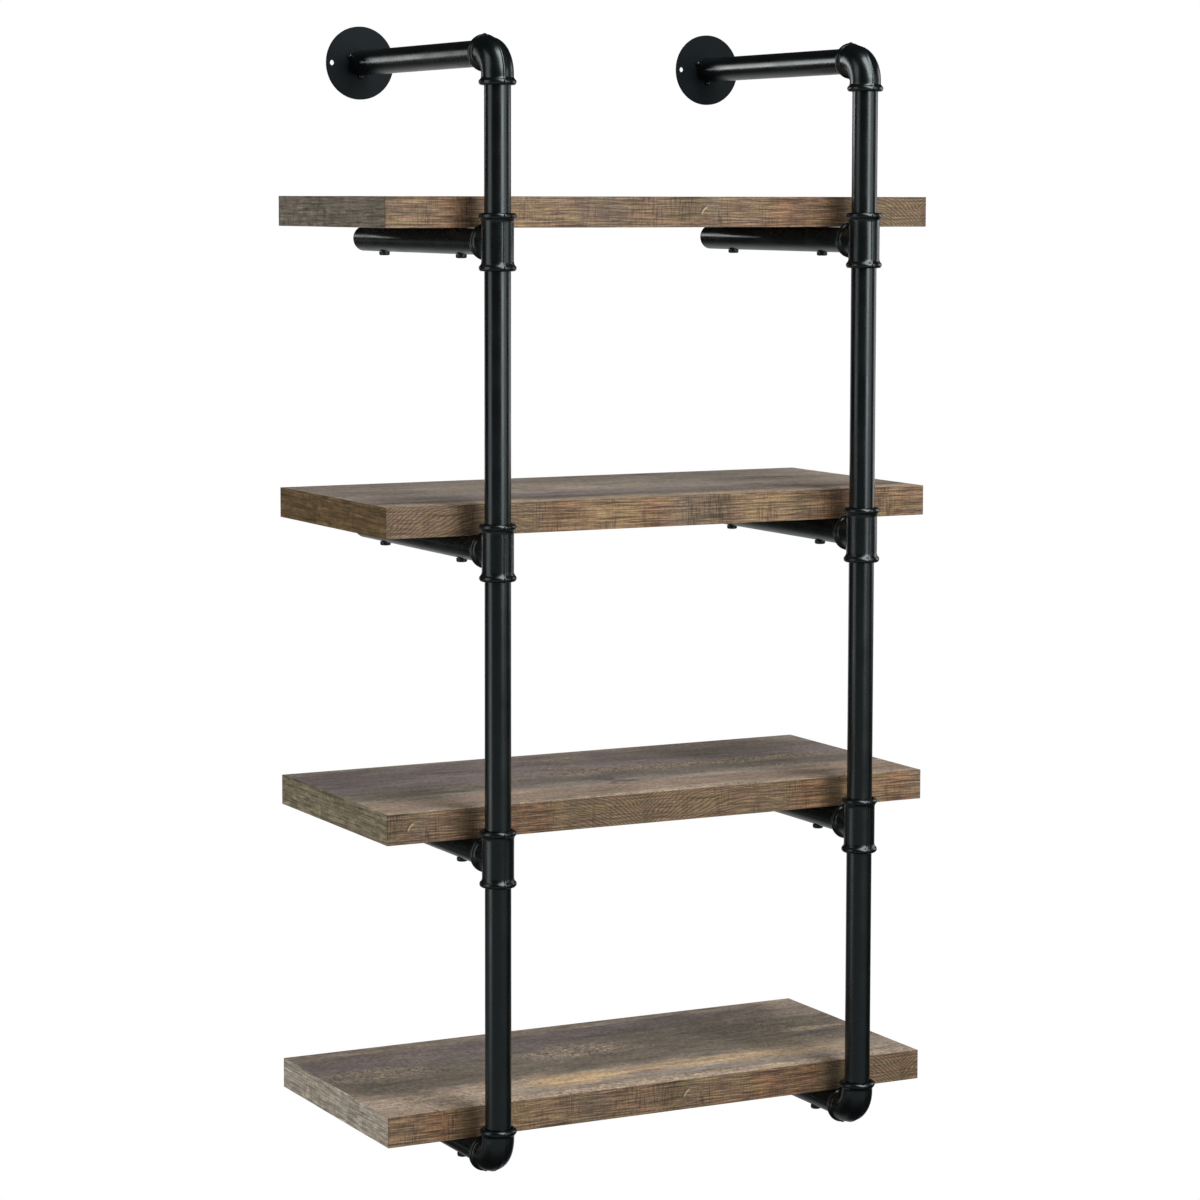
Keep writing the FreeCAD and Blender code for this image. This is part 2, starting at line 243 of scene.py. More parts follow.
def coating(name, tones, gloss, specular, peel_grain, peel_height, flow_grain, flow_height):
    """A coat, plating or skin with fine peel on slow waves and a little uneven in tone and roughness.
    Grains are in lumps per metre, heights in metres, and gloss is the least and most roughness."""
    coat = bpy.data.materials.new(name)
    coat.use_nodes = True
    tree = coat.node_tree
    shader = tree.nodes["Principled BSDF"]
    shader.inputs["Specular IOR Level"].default_value = specular
    shader.inputs["Specular Tint"].default_value = coat_tint
    place = put(tree, "ShaderNodeTexCoord").outputs["Object"]
    cloud = grain_of(tree, place, flow_grain * cloud_share, 3.0)
    tree.links.new(laid_over(tree, cloud, (*tones[0], 1), (*tones[1], 1)),
                   shader.inputs["Base Color"])
    patch = grain_of(tree, place, flow_grain * patch_share, 1.5)
    tree.links.new(between(tree, patch, noise_low, noise_high, *gloss), shader.inputs["Roughness"])
    slow = put(tree, "ShaderNodeBump", {"Height": grain_of(tree, place, flow_grain, 2.0),
                                        "Distance": flow_height})
    fine = put(tree, "ShaderNodeBump", {"Height": grain_of(tree, place, peel_grain, 1.5),
                                        "Distance": peel_height, "Normal": slow.outputs[0]})
    tree.links.new(fine.outputs[0], shader.inputs["Normal"])
    return coat


def dress(node, material):
    """Gives a CAD node its finish."""
    skin = nodes[node].data
    skin.materials.clear()
    skin.materials.append(material)


tube_coat = coating("tube_coat", coat_tones, gloss=(0.22, 0.30), specular=coat_specular,
                    peel_grain=1300.0, peel_height=0.0000005,
                    flow_grain=42.0, flow_height=0.00003)
plate_coat = coating("plate_coat", plate_tones, gloss=(0.40, 0.50), specular=0.06,
                     peel_grain=1100.0, peel_height=0.000006,
                     flow_grain=30.0, flow_height=0.00004)
for side in sides:
    dress(f"wall_plate_{side}", plate_coat)
    dress(f"wall_tube_{side}", tube_coat)
    for tier in tiers:
        dress(f"post_tube_{side}_{tier}", tube_coat)
        dress(f"arm_tube_{side}_{tier}", tube_coat)


# The weld tacks. Three small blobs hold each wall tube to its plate. They are under the same
# coat, which lies thick and shiny over the ripples that the weld froze in.
tack_coat = coating("tack_coat", coat_tones, gloss=(0.20, 0.34), specular=0.4,
                    peel_grain=900.0, peel_height=0.00003, flow_grain=420.0, flow_height=0.0003)
for side in sides:
    dress(f"weld_tacks_{side}", tack_coat)


# The fittings: six tees and four elbows of malleable cast iron, sand cast in two halves. A
# rounded bead stiffens each mouth, and a low seam with lumps on the beads marks where the halves
# of the mould met. The casting is never quite even. The coat's gloss varies less than on the tubes.
# The skin: its step in metres, how strongly and how often it is eased, and the share of faces kept.
skin_step, skin_ease, skin_ease_rounds, skin_thinning = 0.00042, 0.5, 7, 0.4
# The unevenness: the size of its lumps and its reach in metres, and the level that stays in place.
cast_cloud, cast_unevenness, cast_dent_level = 0.013, 0.00018, 0.62
cast_coat = coating("cast_coat", coat_tones, gloss=(0.24, 0.29), specular=coat_specular,
                    peel_grain=800.0, peel_height=0.000001, flow_grain=90.0, flow_height=0.00006)
sand = bpy.data.textures.new("sand_mould", "CLOUDS")
sand.noise_scale, sand.noise_depth = cast_cloud, 2


def casting(node):
    """The fitting's skin as it comes from the mould: every crisp edge eased, in the node's place."""
    blank = bpy.data.objects.new(node + "_blank", nodes[node].data.copy())
    scene.collection.objects.link(blank)
    skin = blank.modifiers.new("skin", "REMESH")
    skin.mode, skin.voxel_size, skin.use_smooth_shade = "VOXEL", skin_step, True
    ease = blank.modifiers.new("ease", "SMOOTH")
    ease.factor, ease.iterations = skin_ease, skin_ease_rounds
    thin = blank.modifiers.new("thin", "DECIMATE")
    thin.ratio = skin_thinning
    made = bpy.data.meshes.new_from_object(
        blank.evaluated_get(bpy.context.evaluated_depsgraph_get()))
    bpy.data.objects.remove(blank)
    return made


def fit_castings(first, *others):
    """Casts one fitting and sets a copy where each fitting of that pattern goes."""
    pattern = casting(first)
    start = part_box(first)[0]
    for node in (first, *others):
        mesh = pattern.copy()
        mesh.transform(Matrix.Translation(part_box(node)[0] - start))
        mesh.materials.clear()
        mesh.materials.append(cast_coat)
        piece = bpy.data.objects.new("cast_" + node, mesh)
        scene.collection.objects.link(piece)
        uneven = piece.modifiers.new("sand_mould", "DISPLACE")
        uneven.texture, uneven.texture_coords = sand, "LOCAL"
        uneven.strength, uneven.mid_level = cast_unevenness, cast_dent_level
        for face in mesh.polygons:
            face.use_smooth = True
        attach(piece, "root")
        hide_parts(node)


fit_castings("tee_left_1", "tee_left_2", "tee_left_3", "tee_right_1", "tee_right_2", "tee_right_3")
fit_castings("top_elbow_left", "top_elbow_right")
fit_castings("bottom_elbow_left", "bottom_elbow_right")


# The boards: four chipboard panels 30 mm thick, faced with printed paper under melamine. The print
# is weathered oak laid along the shelf, in tan, umber and grey-violet bands, with a fine grain
# pressed into the surface. Each board was cut from another part of the sheet.
tones = {
    "pale_tan": "#938475", "tan": "#8a7d70", "gold": "#a88f6f", "pink_tan": "#877769",
    "olive": "#696156", "olive_light": "#7b7466", "umber": "#675f55", "violet": "#756b68",
    "slate": "#6a635b", "ink": "#575253", "grey_brown": "#7d746b", "warm_grey": "#877d73",
    "tick": "#c9b193",
}
# Shares of the depth from the back edge to the front one, and the tone there.
sheet_bands = {
    1: ((0.0, "tan"), (0.12, "violet"), (0.35, "slate"), (0.6, "olive"), (0.8, "pink_tan"),
        (1.0, "tan")),
    2: ((0.0, "grey_brown"), (0.3, "warm_grey"), (0.42, "grey_brown"), (0.6, "warm_grey"),
        (0.69, "violet"), (0.86, "umber"), (0.90, "tan"), (1.0, "pale_tan")),
    3: ((0.0, "tan"), (0.055, "grey_brown"), (0.075, "violet"), (0.50, "violet"), (0.54, "slate"),
        (0.64, "slate"), (0.71, "warm_grey"), (0.78, "pink_tan"), (0.92, "pink_tan"),
        (0.95, "tan"), (1.0, "pale_tan")),
    4: ((0.0, "tan"), (0.075, "tan"), (0.095, "violet"), (0.28, "violet"), (0.36, "slate"),
        (0.50, "umber"), (0.66, "olive"), (0.74, "tan"), (0.85, "tan"), (0.89, "grey_brown"),
        (0.94, "pink_tan"), (1.0, "pale_tan")),
}
# Patches of the print: tone, place along the shelf and half the length in metres, share of the depth
# and half the width as a share, and how strongly the tone and the light ticks show.
sheet_patches = {
    1: (("gold", -0.05, 0.09, 0.8, 0.1, 0.6, 0.5),),
    2: (("tan", -0.046, 0.045, 0.44, 0.12, 0.8, 0.5), ("tan", 0.044, 0.025, 0.44, 0.1, 0.7, 0.4),
        ("tan", 0.256, 0.028, 0.60, 0.1, 0.7, 0.4), ("slate", 0.05, 0.16, 0.80, 0.09, 0.5, 0.0),
        ("pale_tan", -0.2, 0.1, 0.95, 0.05, 0.4, 1.0),
        ("pale_tan", 0.15, 0.16, 0.95, 0.05, 0.3, 0.9)),
    3: (("olive_light", 0.0, 0.034, 0.15, 0.09, 0.8, 0.5), ("umber", 0.17, 0.16, 0.2, 0.15, 0.6, 0.0),
        ("olive", 0.10, 0.23, 0.46, 0.075, 0.8, 0.8), ("slate", 0.17, 0.12, 0.59, 0.07, 0.7, 0.0),
        ("ink", -0.016, 0.014, 0.66, 0.12, 0.75, 0.0), ("olive", -0.25, 0.06, 0.67, 0.09, 0.7, 0.0),
        ("tan", 0.0, 0.4, 0.98, 0.04, 0.4, 1.0)),
    4: (("gold", -0.072, 0.062, 0.80, 0.085, 1.0, 0.2), ("gold", 0.108, 0.15, 0.785, 0.07, 0.6, 0.0),
        ("pale_tan", -0.226, 0.095, 0.84, 0.13, 0.9, 0.8),
        ("olive", 0.17, 0.17, 0.36, 0.28, 0.75, 0.0),
        ("grey_brown", -0.022, 0.075, 0.41, 0.10, 0.5, 1.0),
        ("grey_brown", -0.24, 0.075, 0.40, 0.11, 0.5, 0.9),
        ("tan", 0.256, 0.055, 0.485, 0.028, 0.8, 0.8), ("ink", 0.245, 0.03, 0.56, 0.05, 0.8, 0.0),
        ("tan", 0.28, 0.04, 0.14, 0.2, 0.5, 0.4), ("pale_tan", 0.0, 0.4, 0.97, 0.05, 0.3, 1.0)),
}
# A patch fades out between these, in its own half lengths.
patch_edge, patch_core = 1.25, 0.45
# Where the boards' back and front edges lie.
board_back, board_front = -0.021, -0.286
# Where each board was cut from the sheet, and the painted light and shade across its top: how much
# lighter or darker the print is painted along the back and along the front, for how the light falls
# there.
sheet_shift = {1: (0.35, 0.02), 2: (1.45, 0.31), 3: (2.1, 0.74), 4: (3.3, 1.2)}
painted_top_light = {1: (1.20, 1.06), 2: (1.62, 0.84), 3: (1.36, 0.87), 4: (1.29, 1.03)}
# The underside has the same print, painted darker as shade, so that the arms under a board mirror it
# dark. The shade changes while the upright part of the face's normal goes from minus this turn to plus
# it.
underside_painted_shade, underside_shade_turn = 0.42, 0.2
sheet_specular, panel_ease = 0.16, 0.00018
# The span of the streaks that counts for the gloss, and the roughness at its ends.
gloss_span, sheet_gloss = (0.25, 0.75), (0.46, 0.62)
# The pressed grain: its depth in metres, and the share of each pattern in it.
sheet_relief, streak_relief, grain_relief, tick_relief = 0.00005, 0.7, 0.5, 0.4
# How far the bands sway and fray, in shares of the depth, and how far the patches fray in metres.
band_sway, band_fray, patch_fray = 0.10, 0.11, 0.12
# Lines per metre along and across: the sway, the fraying, the curls and the zones that have them.
sway_grain, fray_grain = (3.0, 8.0), (24.0, 60.0)
curl_grain, curl_zone_grain = (150.0, 210.0), (7.0, 18.0)
# Where a zone begins and is full in its noise, how strongly the ticks show there, and how much the
# curls are twisted and turned.
curl_zone_edge, curl_zone_ticks, curl_twist, curl_turn = (0.48, 0.66), 0.5, 2.2, 0.6
# The light ticks on the curls and the dark troughs beside them.
tick_edge, tick_strength = (0.50, 0.62), 0.72
trough_edge, trough_depth = (0.46, 0.34), 0.42
# Layers of the print: lines per metre along and across, shift, detail, roughness, distortion, turn,
# the span of the noise that counts, and how dark and how light it makes the print.
sheet_layers = {
    "cloud": ((9.0, 26.0), (0.0, 0.0), 4.0, 0.6, 0.0, 0.0, (0.25, 0.75), (0.84, 1.16)),
    "streak": ((16.0, 120.0), (0.0, 0.0), 3.0, 0.6, 0.3, 0.0, (0.28, 0.72), (0.70, 1.28)),
    "grain": ((70.0, 520.0), (0.0, 0.0), 3.0, 0.65, 0.0, 0.0, (0.3, 0.7), (0.80, 1.18)),
    "fleck": ((230.0, 260.0), (0.0, 0.0), 3.0, 0.6, 0.5, 0.0, (0.3, 0.7), (0.66, 1.32)),
}


def colour(tone):
    """A tone's web colour as the linear red, green and blue that a shader takes."""
    code = tones[tone]
    shares = [int(code[at:at + 2], 16) / 255 for at in (1, 3, 5)]
    return (*[((share + 0.055) / 1.055) ** 2.4 for share in shares], 1)


def ramp(tree, feed, stops):
    """Tones laid out along a value from 0 to 1."""
    made = put(tree, "ShaderNodeValToRGB", {"Fac": feed})
    points = made.color_ramp.elements
    for place, tone in stops[1:-1]:
        points.new(place).color = colour(tone)
    points[0].position, points[0].color = stops[0][0], colour(stops[0][1])
    points[-1].position, points[-1].color = stops[-1][0], colour(stops[-1][1])
    return made.outputs[0]


def stretched(tree, place, grain, shift=(0, 0), detail=2.0, roughness=0.5, distortion=0.0, turn=0.0):
    """Noise drawn out to grain = (lines per metre along, lines per metre across)."""
    laid = put(tree, "ShaderNodeMapping", {"Vector": place, "Location": (shift[0], shift[1], 0.0),
                                           "Rotation": (0, 0, turn), "Scale": (*grain, grain[1])})
    return put(tree, "ShaderNodeTexNoise", {"Vector": laid.outputs[0], "Scale": 1.0,
                                            "Detail": detail, "Roughness": roughness,
                                            "Distortion": distortion}).outputs[0]


def product(tree, *feeds):
    """All feeds multiplied."""
    made = feeds[0]
    for feed in feeds[1:]:
        made = maths(tree, "MULTIPLY", made, feed)
    return made


def total(tree, *feeds):
    """All feeds added up."""
    made = feeds[0]
    for feed in feeds[1:]:
        made = maths(tree, "ADD", made, feed)
    return made


def swayed(tree, feed, noise, reach):
    """The feed moved to and fro by a noise, by half of reach either way."""
    return total(tree, feed, product(tree, maths(tree, "SUBTRACT", noise, 0.5), reach))


def shaded(tree, colour_feed, value_feed):
    """A colour made darker or lighter."""
    return put(tree, "ShaderNodeHueSaturation", {"Color": colour_feed,
                                                 "Value": value_feed}).outputs[0]


def layered(tree, place, layers, shift=(0.0, 0.0)):
    """Layers of noise one over the other: each layer by name, and the shade that all of them give."""
    noises = {}
    shades = []
    for name, (grain, own_shift, detail, roughness, distortion, turn, span, shade) in layers.items():
        laid_at = (own_shift[0] + shift[0], own_shift[1] + shift[1])
        noises[name] = stretched(tree, place, grain, laid_at, detail, roughness, distortion, turn)
        shades.append(between(tree, noises[name], *span, *shade))
    return noises, product(tree, *shades)


def sheet(number):
    """The melamine face of one board."""
    face = bpy.data.materials.new(f"oak_sheet_{number}")
    face.use_nodes = True
    tree = face.node_tree
    shader = tree.nodes["Principled BSDF"]
    shader.inputs["Specular IOR Level"].default_value = sheet_specular
    place = put(tree, "ShaderNodeTexCoord").outputs["Object"]
    shift = sheet_shift[number]
    along = put(tree, "ShaderNodeSeparateXYZ", {0: place}).outputs
    depth = between(tree, along["Y"], board_back, board_front)
    slow = stretched(tree, place, sway_grain, shift, detail=3.0)
    lumpy = stretched(tree, place, fray_grain, shift, detail=4.0, roughness=0.65)
    bent = swayed(tree, swayed(tree, depth, slow, band_sway), lumpy, band_fray)
    frayed = swayed(tree, along["X"], lumpy, patch_fray)
    laid = put(tree, "ShaderNodeCombineXYZ", {0: frayed, 1: bent}).outputs[0]
    curl_zone = stretched(tree, place, curl_zone_grain, (shift[1], shift[0]))
    ticking = product(tree, between(tree, curl_zone, *curl_zone_edge), curl_zone_ticks)
    print_colour = ramp(tree, bent, sheet_bands[number])
    for tone, middle, half, share, half_share, strength, ticks in sheet_patches[number]:
        near = put(tree, "ShaderNodeVectorMath", {0: laid, 1: (1 / half, 1 / half_share, 0.0),
                                                  2: (-middle / half, -share / half_share, 0.0)},
                   operation="MULTIPLY_ADD").outputs[0]
        inside = gently(tree, measure(tree, "LENGTH", near), patch_edge, patch_core)
        print_colour = laid_over(tree, product(tree, inside, strength), print_colour, colour(tone))
        if ticks:
            ticking = maths(tree, "MAXIMUM", ticking, product(tree, inside, ticks))
    curl = stretched(tree, place, curl_grain, shift, distortion=curl_twist, turn=curl_turn)
    tick = product(tree, between(tree, curl, *tick_edge), ticking)
    trough = product(tree, between(tree, curl, *trough_edge), ticking, trough_depth)
    facing_up = put(tree, "ShaderNodeSeparateXYZ",
                    {0: put(tree, "ShaderNodeTexCoord").outputs["Normal"]}).outputs["Z"]
    noises, shade = layered(tree, place, sheet_layers, shift)
    # The print's shade, times the painted light and shade across the top and the painted shade of the
    # underside.
    value = product(tree, shade, between(tree, depth, 0.0, 1.0, *painted_top_light[number]),
                    between(tree, facing_up, -underside_shade_turn, underside_shade_turn, underside_painted_shade, 1.0),
                    maths(tree, "SUBTRACT", 1.0, trough))
    ticked = laid_over(tree, product(tree, tick, tick_strength), shaded(tree, print_colour, value),
                       colour("tick"))
    tree.links.new(ticked, shader.inputs["Base Color"])
    tree.links.new(between(tree, noises["streak"], *gloss_span, *sheet_gloss),
                   shader.inputs["Roughness"])
    relief = total(tree, product(tree, noises["streak"], streak_relief),
                   product(tree, noises["grain"], grain_relief), product(tree, tick, tick_relief))
    bump = put(tree, "ShaderNodeBump", {"Height": relief, "Distance": sheet_relief})
    tree.links.new(bump.outputs[0], shader.inputs["Normal"])
    return face


for number in tiers:
    dress(f"board_{number}", sheet(number))
    eased = nodes[f"board_{number}"].modifiers.new("eased_arrises", "BEVEL")
    eased.width, eased.segments, eased.limit_method = panel_ease, 2, "ANGLE"


# The edge strips: four 1 mm strips glued round each board and trimmed flush. Their print is oak
# blocks with cross-saw marks, cut from one long roll, so that the same growth rings and the same
# small curved scar come back at another place on each board.
strip_ease, strip_specular, strip_relief = 0.0003, 0.2, 0.00003
# The span of the relief that counts for the gloss, and the roughness at its ends.
relief_span, strip_gloss = (1.1, 1.9), (0.62, 0.46)
# Where each board's left end lies on the roll.
roll_start = {1: -0.342, 2: 0.258, 3: -0.024, 4: -0.326}
tones.update({
    "edge_tan": "#715c45", "edge_gold": "#725d43", "edge_brown": "#665340", "edge_dark": "#554735",
    "edge_deep": "#543f2e", "edge_rust": "#674c37", "edge_grey": "#5e5043", "edge_olive": "#60513d",
    "leaning_olive": "#6b5d38", "leaning_red": "#714f3f", "light_line": "#866e4f",
    "dark_line": "#382e27", "scar_light": "#bda682", "scar_dark": "#30261f",
    "end_violet": "#7a7062", "end_brown": "#6d5739", "end_olive": "#847962", "end_pale": "#ada292",
})
# Places along the roll in millimetres, and the tone there.
roll_blocks = (
    (-300, "edge_brown"), (-272, "edge_rust"), (-240, "edge_brown"), (-190, "edge_tan"),
    (-150, "edge_brown"), (-100, "edge_grey"), (-80, "edge_brown"), (-35, "edge_brown"),
    (-8, "edge_dark"), (12, "edge_grey"), (24, "edge_brown"), (70, "edge_brown"),
    (86, "edge_rust"), (104, "edge_deep"), (144, "edge_deep"), (162, "edge_brown"),
    (180, "edge_olive"), (290, "edge_brown"), (360, "edge_brown"), (410, "edge_olive"),
    (440, "edge_rust"), (475, "edge_gold"), (530, "edge_gold"), (545, "edge_rust"),
    (580, "edge_grey"), (625, "edge_dark"), (640, "edge_brown"), (690, "edge_tan"),
    (715, "edge_dark"), (750, "edge_rust"), (870, "edge_brown"),
)
roll_first, roll_last = -0.36, 0.88
# How far the blocks' ends fray in metres, how many blocks there are and how much they differ.
block_fray, blocks_per_metre, block_shade = 0.022, 24.0, (0.93, 1.07)
# Layers of the saw marks, in the columns of the sheet's layers.
saw_layers = {
    "along": ((17.0, 620.0), (0.0, 0.0), 3.0, 0.62, 0.0, 0.0, (0.33, 0.64), (0.34, 1.44)),
    "thin": ((60.0, 1250.0), (6.1, 4.7), 2.0, 0.5, 0.0, 0.0, (0.36, 0.64), (0.66, 1.26)),
    "speck": ((330.0, 420.0), (1.7, 5.2), 2.0, 0.6, 0.0, 0.0, (0.33, 0.62), (0.84, 1.10)),
    "mottle": ((38.0, 70.0), (0.4, 9.2), 4.0, 0.6, 0.0, 0.0, (0.3, 0.7), (0.90, 1.12)),
}
# The ladders: how wide a rung is, where ladders are and how deep, and the shade between the rungs.
rung_span, ladder_span, ladder_depth, ladder_ground = (0.53, 0.38), (0.45, 0.62), (0.10, 0.54), 1.02
# The growth rings: the middles of their arches, the step from one to the next, where on the roll
# they come in and go out, how far they swell in metres, and how much they calm the saw marks.
ring_middles, ring_step = ((0.125, -0.16, 0.0), (0.375, -0.16, 0.0)), 0.0030
ring_start, ring_full, ring_fade, ring_end = 0.12, 0.20, 0.34, 0.44
ring_swell, ring_span, ring_depth, ring_calm = 0.012, (-0.2, 1.0), 0.46, 0.6
# Each tone: the span over which it comes in, and how strongly it shows at both ends of the span.
leaning_olive, leaning_red = (0.50, 0.68, 0.0, 0.36), (0.50, 0.32, 0.0, 0.3)
light_lines, dark_lines = (1.05, 1.45, 0.0, 0.4), (0.78, 0.50, 0.0, 0.3)
# The scar: its arc and the height of its middle, how far it frays, where it ends to the right, and
# above and below, how wide its line and the dark groove are, how far off the groove lies, and how
# strongly both show.
scar_middle, scar_radius, scar_height = (0.0085, -0.003, 0.0), 0.0095, 0.002
scar_fray, scar_right_end, scar_half_tall = 0.0028, (0.0045, 0.0030), (0.0050, 0.0036)
scar_line, groove_line, groove_off, scar_strength = (0.0009, 0.0003), (0.0011, 0.0004), 0.0022, 0.5
end_tones = ((0.0, "end_violet"), (0.33, "end_brown"), (0.66, "end_olive"), (1.0, "end_pale"))
end_layers = {
    "hatch": ((85.0, 300.0), (0.3, 0.3), 3.0, 0.6, 0.5, 0.55, (0.3, 0.7), (0.74, 1.20)),
    "patchy": ((55.0, 70.0), (1.9, 3.3), 3.0, 0.6, 0.0, 0.0, (0.3, 0.7), (0.82, 1.18)),
}
# The ends have fainter saw marks, and another cut of the print for each board. In some zones steep
# lines cross them.
end_calm, end_shift, steep_zone_edge, steep_depth = 0.66, 1.37, (0.44, 0.56), 1.8


def strip_finish(name):
    """A new finish for strips, its node tree and each point's place on the print."""
    finish = bpy.data.materials.new(name)
    finish.use_nodes = True
    tree = finish.node_tree
    tree.nodes["Principled BSDF"].inputs["Specular IOR Level"].default_value = strip_specular
    place = put(tree, "ShaderNodeAttribute", attribute_name="strip_place").outputs["Vector"]
    return finish, tree, place


def crossed_saw_marks(tree, place):
    """Dark and light lines along the strip, ladders of short lines across it, and specks."""
    noises, shade = layered(tree, place, saw_layers)
    across = stretched(tree, place, (620.0, 42.0), shift=(3.1, 0.7), detail=3.0, roughness=0.6)
    ladders = stretched(tree, place, (34.0, 12.0), shift=(7.7, 2.2))
    ladder = product(tree, between(tree, across, *rung_span),
                     between(tree, ladders, *ladder_span, *ladder_depth))
    relief = total(tree, noises["along"], across, noises["speck"])
    return product(tree, shade, maths(tree, "SUBTRACT", ladder_ground, ladder)), relief


def finish_strip(tree, tone, relief):
    """Feeds the print, and the gloss and bump that go with its saw marks, to the shader."""
    shader = tree.nodes["Principled BSDF"]
    tree.links.new(tone, shader.inputs["Base Color"])
    tree.links.new(between(tree, relief, *relief_span, *strip_gloss), shader.inputs["Roughness"])
    bump = put(tree, "ShaderNodeBump", {"Height": relief, "Distance": strip_relief})
    tree.links.new(bump.outputs[0], shader.inputs["Normal"])


long_strip, tree, place = strip_finish("oak_block_strip")
roll = put(tree, "ShaderNodeSeparateXYZ", {0: place}).outputs
frayed = stretched(tree, place, (60.0, 90.0), shift=(4.4, 1.9), detail=4.0, roughness=0.7)
at = swayed(tree, roll["X"], frayed, block_fray)
roll_length = roll_last - roll_first
stops = [((millimetres / 1000 - roll_first) / roll_length, tone) for millimetres, tone in roll_blocks]
block_tone = ramp(tree, between(tree, at, roll_first, roll_last), stops)
blocks = put(tree, "ShaderNodeTexVoronoi", {"W": product(tree, at, blocks_per_metre), "Scale": 1.0},
             voronoi_dimensions="1D")
block_step = put(tree, "ShaderNodeSeparateColor", {0: blocks.outputs["Color"]}).outputs[0]
saw_marks, relief = crossed_saw_marks(tree, place)
# Growth rings in one stretch of the roll: two arches that meet in a valley, fading out at the ends.
swell = stretched(tree, place, (26.0, 60.0), shift=(2.0, 2.0), detail=3.0)
arches = [measure(tree, "DISTANCE", place, middle) for middle in ring_middles]
ring = total(tree, maths(tree, "MINIMUM", *arches), product(tree, swell, ring_swell))
ring = maths(tree, "SINE", product(tree, ring, 2 * math.pi / ring_step))
ring_zone = product(tree, between(tree, roll["X"], ring_start, ring_full),
                    between(tree, roll["X"], ring_end, ring_fade))
ring_line = product(tree, between(tree, ring, *ring_span), ring_zone, ring_depth)
calm = between(tree, ring_zone, 0.0, 1.0, 1.0, ring_calm)
value = product(tree, maths(tree, "POWER", saw_marks, calm), maths(tree, "SUBTRACT", 1.0, ring_line),
                between(tree, block_step, 0.0, 1.0, *block_shade))
leaning = stretched(tree, place, (32.0, 120.0), shift=(9.3, 3.8), roughness=0.6)
for tone_name, span in (("leaning_olive", leaning_olive), ("leaning_red", leaning_red)):
    block_tone = laid_over(tree, between(tree, leaning, *span), block_tone, colour(tone_name))
tone = shaded(tree, block_tone, value)
for tone_name, span in (("light_line", light_lines), ("dark_line", dark_lines)):
    tone = laid_over(tree, between(tree, value, *span), tone, colour(tone_name))
# The scar: a light arc 8 mm tall, open to the right, with dark grain beside it.
torn = stretched(tree, place, (300.0, 300.0), shift=(2.2, 7.1))
scarred = put(tree, "ShaderNodeVectorMath", {0: place, 1: product(tree, torn, scar_fray)},
              operation="ADD").outputs[0]
off_arc = maths(tree, "SUBTRACT", measure(tree, "DISTANCE", scarred, scar_middle), scar_radius)
tall = maths(tree, "ABSOLUTE", maths(tree, "SUBTRACT", roll["Y"], scar_height))
left_half = product(tree, between(tree, roll["X"], *scar_right_end),
                    between(tree, tall, *scar_half_tall))
for tone_name, off, line in (("scar_dark", maths(tree, "SUBTRACT", off_arc, groove_off), groove_line),
                             ("scar_light", off_arc, scar_line)):
    arc = between(tree, maths(tree, "ABSOLUTE", off), *line)
    tone = laid_over(tree, product(tree, arc, left_half, scar_strength), tone, colour(tone_name))
finish_strip(tree, tone, relief)

end_strip, tree, place = strip_finish("oak_end_strip")
which_board = put(tree, "ShaderNodeSeparateXYZ", {0: place}).outputs["Z"]
saw_marks, relief = crossed_saw_marks(tree, place)
noises, shade = layered(tree, place, end_layers)
steep = stretched(tree, place, (45.0, 240.0), shift=(5.3, 0.9), detail=3.0, roughness=0.6,
                  distortion=0.5, turn=-0.75)
steep_zone = between(tree, stretched(tree, place, (11.0, 4.0), shift=(8.8, 0.1)), *steep_zone_edge)
steep_mark = product(tree, steep_zone, maths(tree, "SUBTRACT", steep, 0.5), steep_depth)
value = product(tree, maths(tree, "POWER", saw_marks, end_calm), shade,
                maths(tree, "ADD", 1.0, steep_mark))
finish_strip(tree, shaded(tree, ramp(tree, which_board, end_tones), value), relief)


def trimmed_strip(low, high, print_place, slot_number):
    """One strip as a bmesh with its arrises eased. print_place gives a corner's place on the print."""
    made = bmesh.new()
    bmesh.ops.create_cube(made, size=1.0)
    size = high - low
    for corner in made.verts:
        corner.co = Vector((low[i] + (corner.co[i] + 0.5) * size[i] for i in range(3)))
    bmesh.ops.bevel(made, geom=list(made.edges), offset=strip_ease, segments=2, affect="EDGES",
                    profile=0.5, clamp_overlap=True)
    layer = made.verts.layers.float_vector.new("strip_place")
    for corner in made.verts:
        corner[layer] = print_place(corner.co)
    for face in made.faces:
        face.material_index = slot_number
        face.smooth = True
    return made


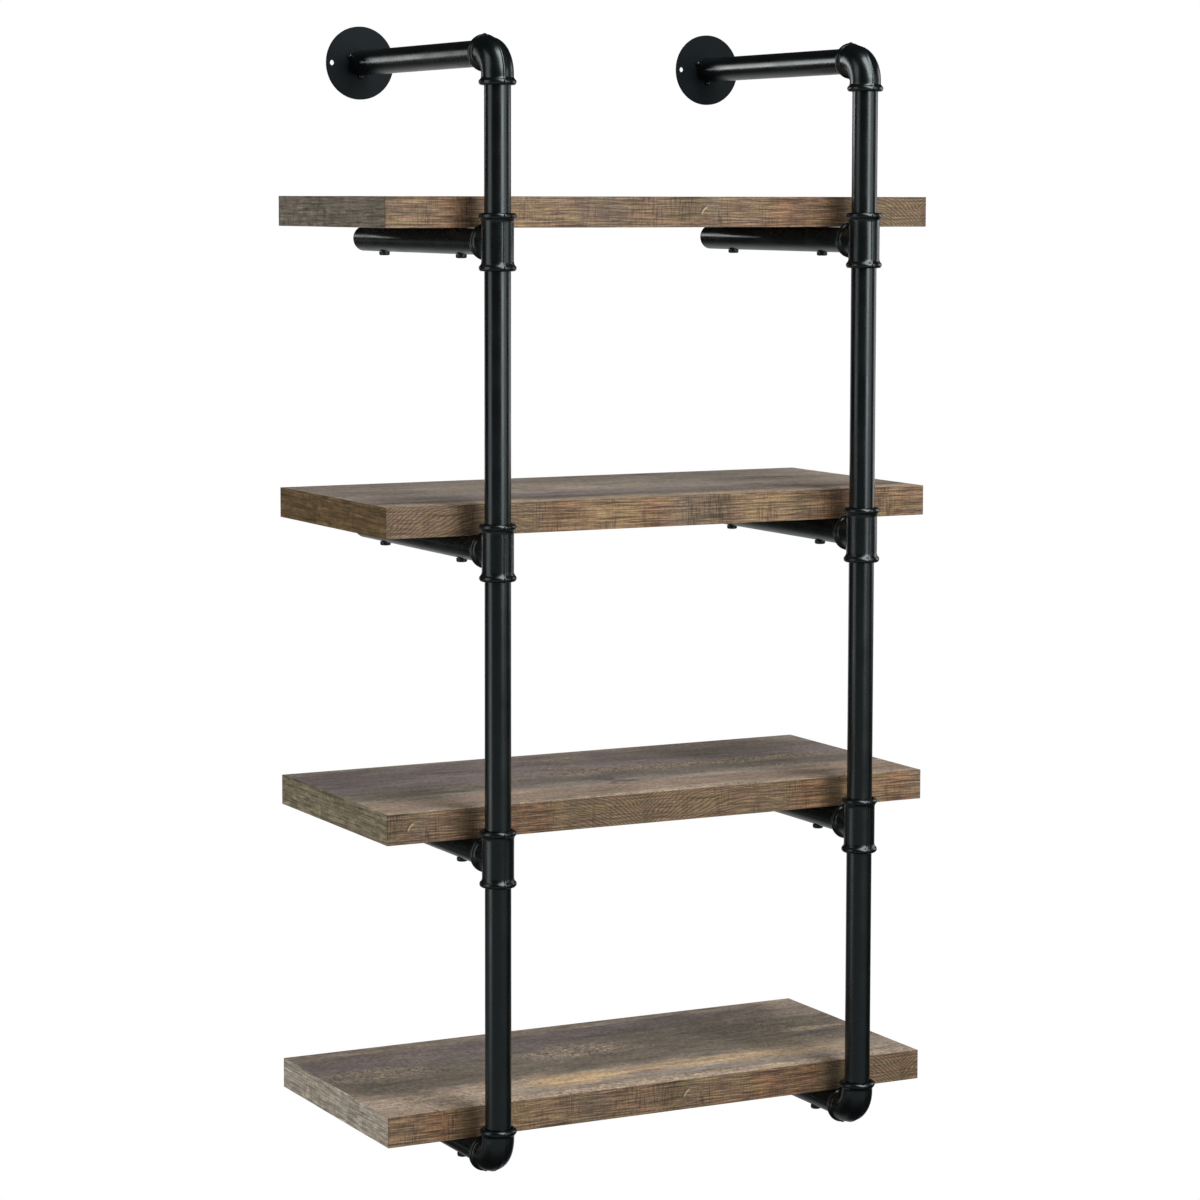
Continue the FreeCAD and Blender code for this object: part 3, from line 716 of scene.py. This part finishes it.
for number in tiers:
    low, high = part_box(f"edge_bands_{number}")
    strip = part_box(f"board_{number}")[0].x - low.x
    middle = (low.z + high.z) / 2
    start = roll_start[number] - low.x

    def on_roll(point, start=start, middle=middle):
        """A corner's place on the roll."""
        return Vector((point.x + start, point.z - middle, 0.0))

    def on_end(point, number=number, middle=middle):
        """A corner's place on this board's cut of the end print, with its place in end_tones."""
        return Vector((point.y + end_shift * number, point.z - middle,
                       (number - tiers[0]) / (tiers[-1] - tiers[0])))

    skin = bpy.data.meshes.new(f"edge_strips_{number}")
    strips = bmesh.new()
    for span_low, span_high, print_place, slot_number in (
            (low, Vector((high.x, low.y + strip, high.z)), on_roll, 0),
            (Vector((low.x, high.y - strip, low.z)), high, on_roll, 0),
            (Vector((low.x, low.y + strip, low.z)), Vector((low.x + strip, high.y - strip, high.z)),
             on_end, 1),
            (Vector((high.x - strip, low.y + strip, low.z)), Vector((high.x, high.y - strip, high.z)),
             on_end, 1)):
        one = trimmed_strip(span_low, span_high, print_place, slot_number)
        one.to_mesh(skin)
        one.free()
        strips.from_mesh(skin)
    strips.to_mesh(skin)
    strips.free()
    skin.materials.append(long_strip)
    skin.materials.append(end_strip)
    piece = bpy.data.objects.new(f"edge_strips_{number}", skin)
    scene.collection.objects.link(piece)
    flat = piece.modifiers.new("flat_faces", "WEIGHTED_NORMAL")
    flat.keep_sharp = True
    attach(piece, "root")
    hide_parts(f"edge_bands_{number}")


# The screws and inserts. Two blackened button screws go up through each arm into zinc-plated
# inserts in the board. Only the screw heads show, under the arms.
screw_tones = ((0.010, 0.010, 0.011), (0.018, 0.018, 0.019))
zinc_tones = ((0.45, 0.44, 0.40), (0.62, 0.60, 0.55))
screw_metal, zinc_metal = 0.4, 1.0
screw_black = coating("screw_black", screw_tones, gloss=(0.30, 0.45), specular=0.5,
                      peel_grain=2200.0, peel_height=0.000008,
                      flow_grain=300.0, flow_height=0.00003)
screw_black.node_tree.nodes["Principled BSDF"].inputs["Metallic"].default_value = screw_metal
zinc = coating("zinc", zinc_tones, gloss=(0.25, 0.42), specular=0.5,
               peel_grain=1500.0, peel_height=0.00001, flow_grain=200.0, flow_height=0.00004)
zinc.node_tree.nodes["Principled BSDF"].inputs["Metallic"].default_value = zinc_metal
for number in tiers:
    dress(f"arm_screws_{number}", screw_black)
    dress(f"board_inserts_{number}", zinc)


# The plugs: moulded black plastic caps that close the rear ends of the arms and keep the bare
# tube off the wall. A short stem goes into the tube and holds each one.
plug_tones = ((0.012, 0.012, 0.012), (0.019, 0.019, 0.019))
plug_plastic = coating("plug_plastic", plug_tones, gloss=(0.52, 0.64), specular=0.4,
                       peel_grain=1600.0, peel_height=0.00002, flow_grain=90.0, flow_height=0.00005)
for side in sides:
    for tier in tiers:
        dress(f"arm_plug_{side}_{tier}", plug_plastic)
